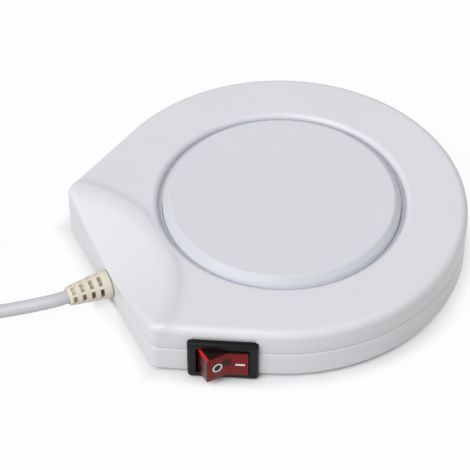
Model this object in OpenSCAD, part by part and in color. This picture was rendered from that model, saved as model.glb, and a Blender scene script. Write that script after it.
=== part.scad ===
// Electric mug warmer. A flat round body with a straight rear carries a raised
// heating plate in a ring groove. A rocker switch sits in the left side wall and
// the mains cord leaves the rear wall through a slotted strain relief.
// Z is up, the rubber feet stand on z = 0 and the plate's centre is over the
// origin. The cord leaves toward -X.

/* [Body] */
// Radius of the round front of the body
body_r = 57.5; // [57:0.5:60]
// How much farther from the plate's centre the rear wall lies than the round front
rear_more = 1; // [0.5:0.5:2.5]
// Angle from +X at which the round front runs into the straight side walls
side_angle = 119.45; // [118:0.5:121]
// Plan radius of the two rear corners
corner_r = 3.5; // [3:0.5:6]
// Height of the body's lower edge above the table
base_z = 0.8; // [0.5:0.1:0.8]
// Height of the seam between the two shell halves
seam_z = 10; // [10:0.1:10.4]
// Height of the flat top of the body
top_z = 18.4; // [18.4:0.2:20]
// Radius of the rounded top edge
shoulder_r = 2.5; // [1.5:0.25:2.5]
// Shell wall thickness
wall = 2; // [1.8:0.1:2.1]
// Thickness of the shell's floor
floor_t = 1.8; // [1.6:0.1:1.8]

/* [Scoop] */
// Distance from the rear wall back to the axis of the conical scoop
scoop_back = 26.5; // [26.5:0.5:31.5]
// Flat top left between the groove's lip and the scoop's edge
scoop_clear = 2; // [2:0.1:3]
// Height of the scoop's floor at the middle of the rear wall
scoop_low_z = 11.2; // [11.2:0.1:12.4]
// Radius of the soft edge where the flat top runs into the scoop
scoop_edge_r = 6; // [4:0.5:7]

/* [Heating plate] */
// Radius of the plate's outer wall
plate_r = 36.9; // [36:0.1:36.9]
// Height of the plate's flat top
plate_z = 19.5; // [19:0.1:21]
// Radius of the plate's rounded rim
plate_rim_r = 1.7; // [1:0.1:1.8]
// Radius of the groove's outer wall
groove_r = 38.5; // [38.3:0.1:39]
// Height of the groove's floor
groove_z = 15.8; // [15.4:0.1:16]
// Radius of the rounded lip round the groove
lip_r = 1.5; // [1:0.1:1.5]

/* [Switch] */
// Distance of the switch's middle behind the start of the straight side wall
switch_back = 13.76; // [13:0.1:15]
// Height of the switch's middle
switch_z = 7.4; // [7.4:0.1:7.6]
// Length of the switch bezel
bezel_l = 21; // [20.6:0.1:21.5]
// Height of the switch bezel
bezel_h = 14.4; // [14:0.1:14.4]
// How far the bezel stands out of the wall
bezel_out = 1.9; // [1.7:0.1:2.3]
// Full swing of the rocker, in degrees
rocker_travel = 34; // [28:1:34]

/* [Mains cord] */
// Diameter of the mains cord
cord_d = 4.2; // [3.8:0.1:4.2]
// Height of the cord where it leaves the body
cord_z = 6.2; // [6.1:0.1:6.3]
// Length of the strain relief outside the rear wall
relief_l = 13.5; // [12:0.5:13.5]
// Diameter of the strain relief at the rear wall
relief_d1 = 9; // [8.6:0.1:9.4]
// Diameter of the strain relief at its tip
relief_d2 = 5.9; // [5.6:0.1:6.2]

/* [Hidden] */
$fn = 96;

// ---- colours of the real pieces
shell_white = [0.87, 0.88, 0.9];
plate_white = [0.84, 0.85, 0.88];
switch_black = [0.12, 0.12, 0.11];
rocker_red = [0.6, 0.06, 0.08];
steel = [0.75, 0.76, 0.78];
mica = [0.78, 0.72, 0.6];
copper = [0.8, 0.5, 0.3];

// ---- general clearances
fit_gap = 0.2;
root = 0.2;
cut_over = 1;
deep = 90;

// ---- shell
rear_reach = body_r + rear_more;
edge_round = 0.9;
seam_round = 0.3;
tongue_h = 1.2;
tongue_t = 0.85;
tongue_in = wall - tongue_t;
ceiling_z = top_z - wall;
floor_z = base_z + floor_t;
side_in = 0.04;
corner_x = -rear_reach + corner_r;
corner_y = (body_r - side_in - corner_r - cos(side_angle) * corner_x) / sin(side_angle);
side_l = -corner_x * sin(side_angle) + corner_y * cos(side_angle);
rear_slab = 30;
ledge_z = groove_z - 1.6;
well_r = groove_r + wall;
plate_gap = 0.3;

// ---- scoop
scoop_wall = 2.2;
scoop_x = rear_reach + scoop_back;
scoop_r = scoop_x - groove_r - lip_r - scoop_clear;
scoop_fall = atan((top_z - scoop_low_z) / (scoop_r - scoop_back));
rear_half = corner_y + 2;
scoop_end_z = top_z - (scoop_r - norm([scoop_back, rear_half])) * tan(scoop_fall);
brow_rise = scoop_end_z - scoop_low_z;
brow_r = (rear_half * rear_half + brow_rise * brow_rise) / (2 * brow_rise);
brow_edge = 2;
brow_slip = 0.03;
brow_lift = 3;
brow_lean = 8;
brow_gap = 22;

// ---- plate and heater stack, from the top down
plate_t = 1.5;
plate_wall = 1.6;
pan_r = plate_r - plate_wall;
pan_z = plate_z - plate_t;
flange_r = 40.2;
flange_t = 1.2;
seal_t = 0.8;
flange_top = ledge_z - seal_t;
flange_z = flange_top - flange_t;
mica_t = 0.4;
ribbon_t = 0.3;
card_t = 0.8;
card_r = 33;
disc_r = 34.6;
clamp_t = 1;
washer_t = 0.8;
nut_h = 3.2;
nut_d = 8.1;
stud_r = 2;
stud_hole_r = 2.3;
ribbon_z = pan_z - mica_t - ribbon_t;
card_z = ribbon_z - card_t;
mica_low_z = card_z - ribbon_t - mica_t;
clamp_z = mica_low_z - clamp_t;
washer_z = clamp_z - washer_t;
nut_z = washer_z - nut_h;
stud_z = nut_z - 0.6;
ear_ring = 45;
ear_r = 3.5;
ear_neck_half = 3;
ear_angles = [10, 130, 250];
ribbon_w = 1.8;
ribbon_pitch = 4;
ribbon_rows = 7;
tail_hole = [15, 20];
tail_hole_r = 1.5;
thermostat_x = 14;
thermostat_size = [8.2, 19, 4];
fuse_y = -20;
sleeve_l = 24;
sleeve_r = 2.5;
fuse_z = clamp_z - sleeve_r - 0.05;

// ---- screws
rear_screw_x = -rear_reach + 8.5;
cover_screw_at = [[rear_screw_x, 27], [rear_screw_x, -27], [39, 32.8], [39, -32.8]];
plate_screw_l = 4.4;
cover_screw_l = 11;
clamp_screw_l = 6;
boss_r = 3.4;
screw_r = 1.4;
pilot_r = 1.45;
head_r = 2.75;
cover_hole_h = 6.5;
ear_hole_h = 6.9;
counterbore_r = 3.1;
counterbore_z = 3.6;
boss_split = seam_z - 0.1;
foot_at = [[40, 18], [40, -18], [-40, 20], [-40, -20]];
foot_r = 5;
foot_sink = 0.8;

// ---- cord clamp inside the rear wall
clamp_x = -rear_reach + 11;
clamp_y = 7;
clamp_l = 20;
clamp_w = 4.5;
post_r = 3;
saddle_half = 3.5;
clamp_pilot_r = 1.1;
cord_r = cord_d / 2;
clamp_bar_z = cord_z + cord_r + 0.05;
clamp_bar_t = 1.8;

// ---- strain relief
neck_r = 2.8;
slot_r = neck_r + fit_gap;
catch_r = 3.5;
catch_t = 1.8;
relief_tail_r = 2.7;
relief_tail_x = -rear_reach + 8.5;
stub_x = -rear_reach + 15.5;
collar_t = 1.2;
groove_rings = 4;
groove_pitch = 3;
groove_w = 1.1;
groove_first = 2.6;
groove_core_r = 2.45;
grooves_round = 6;
groove_turn = 46;
groove_at = 14;

// ---- switch, in its own frame: X along the wall, Y into the body, Z up. The
// frame lies a little behind the wall's outer face
switch_in = 0.7;
bezel_front = bezel_out + switch_in;
bezel_edge = 1.1;
body_half_l = 9.3;
body_half_h = 5.9;
body_deep = 12.5;
cut_gap = 0.2;
open_half_l = 7.9;
open_half_h = 4.95;
chamber_half_l = 8.3;
chamber_deep = 8.4;
pivot_y = 0.6;
pin_r = 1.1;
pin_gap = 0.05;
pin_half = 5.4;
rocker_half_h = 4.75;
rocker_wall = 1;
face_tilt = 16;
ridge_r = 8.51;
ridge_at = 46.58;
skirt_r = 7.64;
face_round = 4;
ridge_x = ridge_r * sin(ridge_at);
ridge_h = ridge_r * cos(ridge_at);
vee_h = ridge_h - ridge_x * tan(face_tilt);
vee_mid_h = vee_h + face_round / cos(face_tilt);
rest_turn = rocker_travel / 2;
tube_r = 1.5;
bore_r = 1.25;
bore_top = 1.8;
plunger_r = 1.15;
plunger_top = -0.9;
plunger_tip = 5.4;
arm_r = 5.7;
arm_t = 0.4;
blade_w = 4.8;
blade_t = 0.8;
blade_x = 5.5;
blade_end = 20.5;
spade_y = 14.2;
spade_end = 21.6;
mark_t = 0.08;
mark_mid = 3;
lamp_r = 1.2;
lamp_l = 6.4;
lamp_at = [3, 2.2];

// ---- leads inside
core_r = 0.9;
wire_r = 0.75;
cap_at = [stub_x + 10, 6, 5.4];
cap_r = 2.7;
cap_l = 10;

// ---- cord outside: free stretch, coil, tail
relief_tip_x = -rear_reach - relief_l;
coil_mid = [relief_tip_x - 44.5, 44.5];
coil_out_r = 31;
coil_join = 256;
coil_pitch = 4.7;
layer_turns = 3.25;
climb_turns = 0.5;
coil_z = 2.15;
coil_steps = 24;
coil_sides = 6;
coil_turns = 2 * layer_turns + climb_turns;
inner_r = coil_out_r - layer_turns * coil_pitch;
join_dir = [sin(coil_join), -cos(coil_join), 0];
coil_in = coil_point(0) - cord_d * join_dir;
coil_out = coil_point(coil_turns) + cord_d * join_dir;
cord_route = [
  [relief_tip_x, 0, cord_z],
  [relief_tip_x - 1.5, 0, cord_z],
  [relief_tip_x - 4, 0.2, cord_z - 0.1],
  [relief_tip_x - 7, 1, 5.65],
  [relief_tip_x - 11, 2.3, 4.9],
  [relief_tip_x - 15, 3.8, 4.1],
  [relief_tip_x - 20, 5.8, 3.1],
  [relief_tip_x - 25, 7.4, 2.4],
  coil_in - 16 * join_dir,
  coil_in - 8 * join_dir,
  coil_in
];
plug_dir = 240;
plug_at = [relief_tip_x - 84.6, -1.6, 6.95];
tail_route = [
  coil_out,
  coil_out + 2 * join_dir,
  [relief_tip_x - 62, 15.7, 6.9],
  [relief_tip_x - 67.4, 14.9, 6.95],
  [relief_tip_x - 72.5, 12.7, 6.95],
  [relief_tip_x - 77, 9.4, 6.95],
  plug_at - 6 * [cos(plug_dir), sin(plug_dir), 0],
  plug_at - 3 * [cos(plug_dir), sin(plug_dir), 0],
  plug_at
];
plug_l = 36;
plug_w = 26.1;
plug_t = 13.7;
plug_nose = 8;
pin_pitch = 18.6;
plug_pin_r = 2;
plug_pin_l = 19;
sleeve_part = 10;

// ---- a wound or bent round piece: rings of points swept along a path
function unit(v) = v / norm(v);
function heading(p, i) = i == 0 ? unit(p[1] - p[0]) : i == len(p) - 1 ? unit(p[i] - p[i - 1])
  : unit(unit(p[i + 1] - p[i]) + unit(p[i] - p[i - 1]));
function ring(at, d, r, sides, ref) = let (u = unit(cross(ref, d)), v = cross(d, u))
  [for (k = [0:sides - 1]) at + r * cos(k * 360 / sides) * u + r * sin(k * 360 / sides) * v];
function first_face(n) = [for (k = [0:n - 1]) k];
function last_face(n, rings) = [for (k = [n - 1:-1:0]) (rings - 1) * n + k];
function side_faces(n, rings) = [for (i = [0:rings - 2]) for (k = [0:n - 1])
  let (a = i * n + k, b = i * n + (k + 1) % n) each [[a, a + n, b + n], [a, b + n, b]]];

module wire(path, r, sides = 8, ref = [0, 0, 1]) {
  rings = len(path);
  points = [for (i = [0:rings - 1]) each ring(path[i], heading(path, i), r, sides, ref)];
  faces = concat([first_face(sides)], side_faces(sides, rings), [last_face(sides, rings)]);
  polyhedron(points, faces, convexity = 10);
}

// ---- the coil: spirals in on the table, climbs half a turn, spirals out above
function coil_radius(t) = t < layer_turns ? coil_out_r - coil_pitch * t
  : t < layer_turns + climb_turns / 2 ? inner_r - coil_pitch * (t - layer_turns)
  : inner_r + coil_pitch * (t - layer_turns - climb_turns);
function coil_rise(t) = coil_pitch * min(1, max(0, (t - layer_turns) / climb_turns));
function coil_point(t) = [
  coil_mid[0] + coil_radius(t) * cos(coil_join - 360 * t),
  coil_mid[1] + coil_radius(t) * sin(coil_join - 360 * t),
  coil_z + coil_rise(t)
];
coil_wound = [for (i = [0:coil_turns * coil_steps]) coil_point(i / coil_steps)];
coil_path = concat([coil_in], coil_wound, [coil_out]);
coil_gaps = [for (i = [0:len(coil_path) - 1]) for (j = [i + 12:len(coil_path) - 1])
  norm(coil_path[i] - coil_path[j])];
echo("least gap between the coil's turns", min(coil_gaps) - cord_d);

// ---- outline of the shell: a section drawn with x = 0 at the outer wall and
// y up is carried round the front, the side walls, the corners and the rear.
// The side walls sit a hair inside the round front, and the corners a hair
// inside both walls, so that their faces cross
module to_axis(r) {
  intersection() {
    translate([r, 0]) children();
    square([2 * body_r, 2 * top_z]);
  }
}

module slab(length) {
  translate([0, length, 0]) rotate([90, 0, 0]) linear_extrude(length) children();
}

module around_body() {
  rotate_extrude() to_axis(body_r) children();
  for (side = [0, 1]) {
    mirror([0, side, 0]) {
      rotate([0, 0, side_angle]) slab(side_l) to_axis(body_r - side_in) children();
      translate([corner_x, corner_y, 0]) rotate_extrude() to_axis(corner_r - side_in) children();
    }
  }
  rotate([0, 0, 180]) translate([rear_reach, -corner_y, 0]) slab(2 * corner_y) intersection() {
    children();
    translate([-rear_slab, 0]) square([rear_slab, 2 * top_z]);
  }
}

module corner_waste(r) {
  difference() {
    square(r + cut_over);
    circle(r);
  }
}

module block_section(low, high, low_round, high_round) {
  difference() {
    translate([-deep, low]) square([deep, high - low]);
    translate([-high_round, high - high_round]) corner_waste(high_round);
    translate([-low_round, low + low_round]) mirror([0, 1]) corner_waste(low_round);
  }
}

module top_section() {
  block_section(seam_z, top_z, seam_round, shoulder_r);
}

module top_hollow_section() {
  translate([-deep - wall, seam_z - cut_over]) square([deep, ceiling_z - seam_z + cut_over]);
  translate([-deep - tongue_in + fit_gap, seam_z - cut_over]) square([deep, tongue_h + fit_gap + cut_over]);
}

module bottom_section() {
  block_section(base_z, seam_z, edge_round, edge_round);
  translate([-deep - tongue_in, seam_z - cut_over]) square([deep, tongue_h + cut_over]);
}

module bottom_hollow_section() {
  translate([-deep - wall, floor_z]) square([deep, top_z]);
}

// ---- the scoop is a wide shallow cone about an upright axis behind the body
module scoop() {
  tangent_l = scoop_edge_r * tan(scoop_fall / 2);
  mid = [scoop_r + tangent_l, top_z - scoop_edge_r];
  edge = [for (a = [scoop_fall:-scoop_fall / 5:0]) mid + scoop_edge_r * [-sin(a), cos(a)]];
  translate([-scoop_x, 0, 0]) rotate_extrude() polygon(concat(
    [[0, top_z + 2], [0, top_z - scoop_r * tan(scoop_fall)]],
    edge,
    [[scoop_r + tangent_l, top_z + 2]]
  ));
}

// ---- rounds the brow where the scoop meets the rear wall, and lifts clear of it
module brow_round() {
  brow_turn = 90 - scoop_fall;
  low = brow_edge * tan(brow_turn / 2) + brow_slip;
  arc = [for (a = [0:brow_turn / 4:brow_turn])
    [brow_r + low - brow_edge * sin(a), brow_edge - brow_edge * cos(a)]];
  lift = arc[4] + brow_lift * [-tan(scoop_fall + brow_lean), 1];
  translate([-rear_reach, 0, scoop_low_z + brow_r]) rotate([0, 90, 0]) rotate_extrude() polygon(concat(
    [[0, -cut_over], [brow_r + low, -cut_over]],
    arc,
    [lift, [0, lift[1]]]
  ));
}

module at_switch() {
  rotate([0, 0, -side_angle]) translate([body_r - switch_in, -switch_back, switch_z])
    rotate([0, 0, 90]) children();
}

module switch_cutout() {
  half_l = body_half_l + cut_gap;
  half_h = body_half_h + cut_gap;
  at_switch() centred_box(half_l, -switch_in - cut_over, body_deep + cut_over, half_h);
}

module groove_cut() {
  rotate_extrude() difference() {
    translate([0, groove_z]) square([groove_r + lip_r, top_z]);
    translate([groove_r, groove_z - cut_over])
      square([lip_r + cut_over, top_z - lip_r - groove_z + cut_over]);
    translate([groove_r + lip_r, top_z - lip_r]) circle(lip_r);
  }
  cylinder(r = plate_r + plate_gap, h = top_z);
}

module on_ring(angles, r) {
  for (a = angles) rotate([0, 0, a]) translate([r, 0, 0]) children();
}

module at_points(list) {
  for (p = list) translate([p[0], p[1], 0]) children();
}

module at_clamp_screws() {
  for (side = [-1, 1]) translate([clamp_x, side * clamp_y, 0]) children();
}

// ---- white top shell half with groove, scoop and screw bosses
module top_cover() {
  color(shell_white) difference() {
    union() {
      difference() {
        around_body() top_section();
        scoop();
        brow_round();
        difference() {
          around_body() top_hollow_section();
          translate([0, 0, -scoop_wall]) scoop();
          translate([0, 0, ledge_z]) cylinder(r = well_r, h = top_z);
        }
      }
      at_points(cover_screw_at) translate([0, 0, boss_split + fit_gap])
        cylinder(r = boss_r, h = ceiling_z - boss_split);
      on_ring(ear_angles, ear_ring) translate([0, 0, flange_top])
        cylinder(r = ear_r, h = ceiling_z + root - flange_top);
      translate([-rear_reach + fit_gap, fit_gap - slot_r, cord_z + slot_r])
        cube([wall - fit_gap, 2 * (slot_r - fit_gap), seam_z + 0.5 - cord_z - slot_r]);
    }
    groove_cut();
    switch_cutout();
    at_points(cover_screw_at) translate([0, 0, seam_z - cut_over]) cylinder(r = pilot_r, h = cover_hole_h);
    on_ring(ear_angles, ear_ring) translate([0, 0, seam_z]) cylinder(r = pilot_r, h = ear_hole_h);
  }
}

// ---- white lower shell half with floor, bosses, posts and the cord's slot
module bottom_cover() {
  color(shell_white) difference() {
    union() {
      difference() {
        around_body() bottom_section();
        around_body() bottom_hollow_section();
        translate([-rear_reach - cut_over, -brow_gap, seam_z]) cube([6, 2 * brow_gap, top_z]);
        switch_cutout();
      }
      at_points(cover_screw_at) translate([0, 0, floor_z - root])
        cylinder(r = boss_r + 0.3, h = boss_split - floor_z + root);
      at_clamp_screws() translate([0, 0, floor_z - root])
        cylinder(r = post_r, h = clamp_bar_z - floor_z + root);
      translate([clamp_x - clamp_w / 2, -saddle_half, floor_z - root])
        cube([clamp_w, 2 * saddle_half, cord_z - floor_z + root]);
    }
    translate([-rear_reach - cut_over, 0, cord_z]) rotate([0, 90, 0])
      cylinder(r = slot_r, h = wall + 2 * cut_over);
    translate([-rear_reach - cut_over, -slot_r, cord_z]) cube([wall + 2 * cut_over, 2 * slot_r, seam_z]);
    translate([-rear_reach + wall + 1, 0, cord_z]) rotate([0, 90, 0]) cylinder(r = cord_r + 0.05, h = 20);
    at_points(cover_screw_at) cylinder(r = counterbore_r, h = counterbore_z);
    at_points(cover_screw_at) cylinder(r = screw_r + fit_gap, h = seam_z + cut_over);
    at_clamp_screws() translate([0, 0, floor_z]) cylinder(r = clamp_pilot_r, h = seam_z);
    at_points(foot_at) translate([0, 0, base_z - cut_over])
      cylinder(r = foot_r + fit_gap, h = foot_sink + cut_over);
  }
}

// ---- drawn plate: flat top, rolled rim, upright wall, fixing flange and stud
module heater_plate() {
  color(plate_white) difference() {
    union() {
      rotate_extrude() difference() {
        union() {
          difference() {
            translate([0, flange_z]) square([plate_r, plate_z - flange_z]);
            translate([plate_r - plate_rim_r, plate_z - plate_rim_r]) corner_waste(plate_rim_r);
          }
          translate([0, flange_z]) square([flange_r, flange_t]);
        }
        translate([0, flange_z - cut_over]) square([pan_r, pan_z - flange_z + cut_over]);
      }
      translate([0, 0, stud_z]) cylinder(r = stud_r, h = pan_z - stud_z + 0.2);
      on_ring(ear_angles, ear_ring) translate([0, 0, flange_z]) cylinder(r = ear_r, h = flange_t);
      on_ring(ear_angles, flange_r - 2) translate([0, -ear_neck_half, flange_z + 0.1])
        cube([ear_ring - flange_r + 2, 2 * ear_neck_half, flange_t - 0.2]);
    }
    on_ring(ear_angles, ear_ring) translate([0, 0, flange_z - cut_over])
      cylinder(r = screw_r + fit_gap, h = flange_t + 2 * cut_over);
  }
}

module washer_ring(outer, inner, h) {
  difference() {
    cylinder(r = outer, h = h);
    translate([0, 0, -cut_over]) cylinder(r = inner, h = h + 2 * cut_over);
  }
}

module plate_seal() {
  color([0.75, 0.3, 0.2]) translate([0, 0, flange_top]) washer_ring(flange_r, plate_r + plate_gap, seal_t);
}

module mica_upper() {
  color(mica) translate([0, 0, pan_z - mica_t]) washer_ring(disc_r, stud_hole_r, mica_t);
}

module heater_card() {
  color([0.7, 0.62, 0.48]) translate([0, 0, card_z]) washer_ring(card_r, stud_hole_r, card_t);
}

// ---- flat resistance ribbon laid in rows across both faces of its card
module heater_ribbon() {
  color(steel) for (z = [card_z - ribbon_t, ribbon_z]) {
    translate([0, 0, z]) intersection() {
      washer_ring(card_r - 1, stud_hole_r + 1, ribbon_t);
      for (row = [-ribbon_rows:ribbon_rows]) {
        translate([-card_r, row * ribbon_pitch - ribbon_w / 2, 0]) cube([2 * card_r, ribbon_w, ribbon_t]);
      }
    }
  }
}

module tail_holes() {
  for (side = [-1, 1]) translate([side * tail_hole[0], tail_hole[1], -cut_over])
    cylinder(r = tail_hole_r, h = 2 * cut_over + clamp_t);
}

module mica_lower() {
  color(mica) translate([0, 0, mica_low_z]) difference() {
    washer_ring(disc_r, stud_hole_r, mica_t);
    tail_holes();
  }
}

module clamp_plate() {
  color(steel) translate([0, 0, clamp_z]) difference() {
    washer_ring(disc_r, stud_hole_r, clamp_t);
    tail_holes();
  }
}

module clamp_washer() {
  color(steel) translate([0, 0, washer_z]) washer_ring(5, stud_hole_r, washer_t);
}

module clamp_nut() {
  color(steel) translate([0, 0, nut_z]) difference() {
    cylinder(d = nut_d, h = nut_h, $fn = 6);
    translate([0, 0, -cut_over]) cylinder(r = stud_r + 0.05, h = nut_h + 2 * cut_over);
  }
}

// ---- pan-head screw seen from its head, shank upward
module screw(shank_r, shank_l, outer_r, head_h) {
  difference() {
    union() {
      translate([0, 0, -head_h]) cylinder(r1 = outer_r - 0.5, r2 = outer_r, h = head_h);
      cylinder(r = shank_r, h = shank_l - 1);
      translate([0, 0, shank_l - 1]) cylinder(r1 = shank_r, r2 = shank_r / 2, h = 1);
    }
    for (turn = [0, 90]) rotate([0, 0, turn]) translate([-outer_r * 0.55, -0.4, -head_h - cut_over])
      cube([outer_r * 1.1, 0.8, head_h / 2 + cut_over]);
  }
}

module plate_screws() {
  color(steel) on_ring(ear_angles, ear_ring) translate([0, 0, flange_z])
    screw(screw_r, plate_screw_l, head_r, 1.6);
}

module cover_screws() {
  color(steel) at_points(cover_screw_at) translate([0, 0, counterbore_z])
    screw(screw_r, cover_screw_l, head_r, 2);
}

module clamp_screws() {
  color(steel) at_clamp_screws() translate([0, 0, clamp_bar_z + clamp_bar_t]) mirror([0, 0, 1])
    screw(clamp_pilot_r - 0.05, clamp_screw_l, 2.4, 1.4);
}

module thermostat() {
  size = thermostat_size;
  step = 1.2;
  corner = [thermostat_x - size[0] / 2, -size[1] / 2, clamp_z - size[2]];
  color([0.55, 0.55, 0.5]) translate(corner) difference() {
    cube(size);
    for (x = [size[0] - step, step - 2]) translate([x, -cut_over, -cut_over])
      cube([2, size[1] + 2 * cut_over, 1 + cut_over]);
  }
}

module along_x(from, r, h) {
  translate([from, fuse_y, fuse_z]) rotate([0, 90, 0]) cylinder(r = r, h = h);
}

module fuse_sleeve() {
  color([0.85, 0.83, 0.75]) difference() {
    along_x(-sleeve_l / 2, sleeve_r, sleeve_l);
    along_x(-sleeve_l / 2 - cut_over, sleeve_r - 0.4, sleeve_l + 2 * cut_over);
  }
}

module thermal_fuse() {
  color(steel) {
    along_x(-5.5, 2, 10);
    translate([4.5, fuse_y, fuse_z]) rotate([0, 90, 0]) cylinder(r1 = 2, r2 = 0.5, h = 2);
    along_x(-sleeve_l / 2, 0.5, sleeve_l / 2 - 5.4);
    along_x(6.4, 0.5, sleeve_l / 2 - 6.4);
  }
}

// ---- switch housing: bevelled bezel, box with snap tabs, open rocker chamber
module bezel_half(half) {
  polygon([[-half, -switch_in], [-half, bezel_edge - bezel_front], [bezel_edge - half, -bezel_front],
    [half - bezel_edge, -bezel_front], [half, bezel_edge - bezel_front], [half, -switch_in]]);
}

module centred_box(half_l, from, to, half_h) {
  translate([-half_l, from, -half_h]) cube([2 * half_l, to - from, 2 * half_h]);
}

module blades(extra) {
  for (x = [-blade_x, 0, blade_x]) {
    start = x == 0 ? pivot_y + arm_r + arm_t : chamber_deep - 0.4;
    translate([x - blade_t / 2 - extra, start, -blade_w / 2 - extra])
      cube([blade_t + 2 * extra, blade_end - start, blade_w + 2 * extra]);
  }
}

module switch_housing() {
  color(switch_black) at_switch() difference() {
    union() {
      intersection() {
        translate([0, 0, -bezel_h / 2]) linear_extrude(bezel_h) bezel_half(bezel_l / 2);
        rotate([0, -90, 0]) translate([0, 0, -bezel_l / 2]) linear_extrude(bezel_l) bezel_half(bezel_h / 2);
      }
      centred_box(body_half_l, -switch_in - 0.1, body_deep, body_half_h);
      for (side = [0, 1]) {
        mirror([side, 0, 0]) translate([body_half_l, wall - switch_in + 0.05, -2.5]) linear_extrude(5)
          polygon([[-0.1, 0], [0.8, 0], [-0.1, 4]]);
      }
    }
    centred_box(open_half_l, -bezel_front - cut_over, 0.1, open_half_h);
    centred_box(chamber_half_l, 0, chamber_deep, open_half_h);
    translate([0, pivot_y, -pin_half - 0.1]) cylinder(r = pin_r + pin_gap, h = 2 * pin_half + 0.2);
    blades(0.05);
  }
}

// ---- rocker, drawn level about its pivot and turned to the pressed state
module rocker_frame() {
  at_switch() translate([0, pivot_y, 0]) rotate([0, 0, rest_turn]) mirror([0, 1, 0]) children();
}

function polar(r, a) = [r * cos(a), r * sin(a)];
rocker_end = concat([[ridge_x, ridge_h]], [for (a = [9.5, 0, -8, -16, -25]) polar(skirt_r, a)]);
rocker_face = [for (a = [-face_tilt:face_tilt / 2:face_tilt])
  [face_round * sin(a), vee_mid_h - face_round * cos(a)]];
rocker_back = [for (i = [len(rocker_end) - 1:-1:0]) [-rocker_end[i][0], rocker_end[i][1]]];

module switch_rocker() {
  color(rocker_red) rocker_frame() difference() {
    union() {
      difference() {
        translate([0, 0, -rocker_half_h]) linear_extrude(2 * rocker_half_h)
          polygon(concat(rocker_face, rocker_end, rocker_back));
        translate([0, 0, rocker_wall - rocker_half_h]) linear_extrude(2 * (rocker_half_h - rocker_wall))
          polygon([[-6, -4], [-5.2, 4.2], [0, vee_h - 1.3], [5.2, 4.2], [6, -4]]);
      }
      rotate([90, 0, 0]) translate([0, 0, -3]) cylinder(r = tube_r, h = 6);
      translate([0, 0, -pin_half]) cylinder(r = pin_r, h = pin_half - rocker_half_h + 0.2);
      translate([0, 0, rocker_half_h - 0.2]) cylinder(r = pin_r, h = pin_half - rocker_half_h + 0.2);
    }
    rotate([90, 0, 0]) translate([0, 0, -bore_top]) cylinder(r = bore_r, h = 6);
  }
}

// ---- on and off marks stand a hair above the rocker's two faces
module rocker_marks() {
  color([0.9, 0.9, 0.88]) rocker_frame() {
    translate([0, vee_h, 0]) rotate([0, 0, -face_tilt]) translate([-mark_mid, 0, 0]) rotate([-90, 0, 0])
      washer_ring(1.6, 1.15, mark_t);
    translate([0, vee_h, 0]) rotate([0, 0, face_tilt]) translate([2.6, 0, -0.3]) cube([2.8, mark_t, 0.6]);
  }
}

module switch_lamp() {
  color([0.9, 0.6, 0.4]) rocker_frame() translate([lamp_at[0], lamp_at[1], -lamp_l / 2])
    cylinder(r = lamp_r, h = lamp_l);
}

module detent_plunger() {
  color([0.75, 0.6, 0.3]) rocker_frame() rotate([90, 0, 0]) {
    translate([0, 0, -plunger_top]) cylinder(r = plunger_r, h = plunger_tip - plunger_r + plunger_top);
    translate([0, 0, plunger_tip - plunger_r]) sphere(r = plunger_r);
  }
}

spring_r = 0.85;
spring_wire_r = 0.15;
spring_steps = 48;
spring_rise = (bore_top - plunger_top - 2 * spring_wire_r - 0.02) / spring_steps;
spring_path = [for (i = [0:spring_steps])
  [spring_r * cos(i * 30), spring_wire_r + 0.01 + spring_rise * i, spring_r * sin(i * 30)]];
module detent_spring() {
  color(steel) rocker_frame() translate([0, plunger_top, 0]) wire(spring_path, spring_wire_r, 6, [0, 1, 0]);
}

// ---- curved contact that the plunger's tip glides along
module contact_arm() {
  color(copper) at_switch() translate([0, pivot_y, -2]) rotate_extrude(angle = 50, start = 65)
    translate([arm_r, 0]) square([arm_t, 4]);
}

module switch_blades() {
  color(copper) at_switch() blades(0);
}

module spade_terminals() {
  color([0.85, 0.85, 0.88]) at_switch() for (x = [-blade_x, 0, blade_x]) {
    difference() {
      translate([x - 1.3, spade_y, -3]) cube([2.6, spade_end - spade_y, 6]);
      translate([x - blade_t / 2 - 0.05, spade_y - cut_over, -blade_w / 2 - 0.05])
        cube([blade_t + 0.1, blade_end - spade_y + cut_over + 0.1, blade_w + 0.1]);
    }
  }
}

module crimp_cap() {
  color([0.9, 0.88, 0.8]) translate(cap_at) rotate([-90, 0, 0]) {
    cylinder(r = cap_r, h = cap_l - 1.5);
    translate([0, 0, cap_l - 1.5]) cylinder(r1 = cap_r, r2 = cap_r - 1.2, h = 1.5);
  }
}

// ---- leads between the cord, the switch, the fuse and the heater
function by_switch(x, y) = let (r = body_r - switch_in - y) [
  r * cos(side_angle) + (x - switch_back) * sin(side_angle),
  -r * sin(side_angle) + (x - switch_back) * cos(side_angle),
  switch_z
];
thermostat_z = clamp_z - thermostat_size[2] / 2;
thermostat_end = thermostat_size[1] / 2;
lead_top = card_z - ribbon_t;

live_route = [
  [stub_x, -1, cord_z],
  [stub_x + 0.8, -1, cord_z],
  [stub_x + 2.4, -1.1, cord_z],
  [stub_x + 5, -2.6, 6.6],
  [stub_x + 7.7, -6.2, 7.1],
  [stub_x + 10.2, -10, 7.3],
  by_switch(-blade_x, 29),
  by_switch(-blade_x, 25),
  by_switch(-blade_x, spade_end)
];
module live_lead() {
  color([0.45, 0.26, 0.14]) wire(live_route, core_r);
}

neutral_core_route = [
  [stub_x, 1, cord_z],
  [stub_x + 0.8, 1, cord_z],
  [stub_x + 2.6, 1.1, 6],
  [stub_x + 6, 2, 5.4],
  [stub_x + 8, 3.4, 4.9],
  [cap_at[0] - 1.1, cap_at[1] - 0.8, cap_at[2] - 0.6],
  [cap_at[0] - 1.1, cap_at[1], cap_at[2] - 0.6]
];
module neutral_core() {
  color([0.2, 0.35, 0.65]) wire(neutral_core_route, core_r);
}

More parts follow.
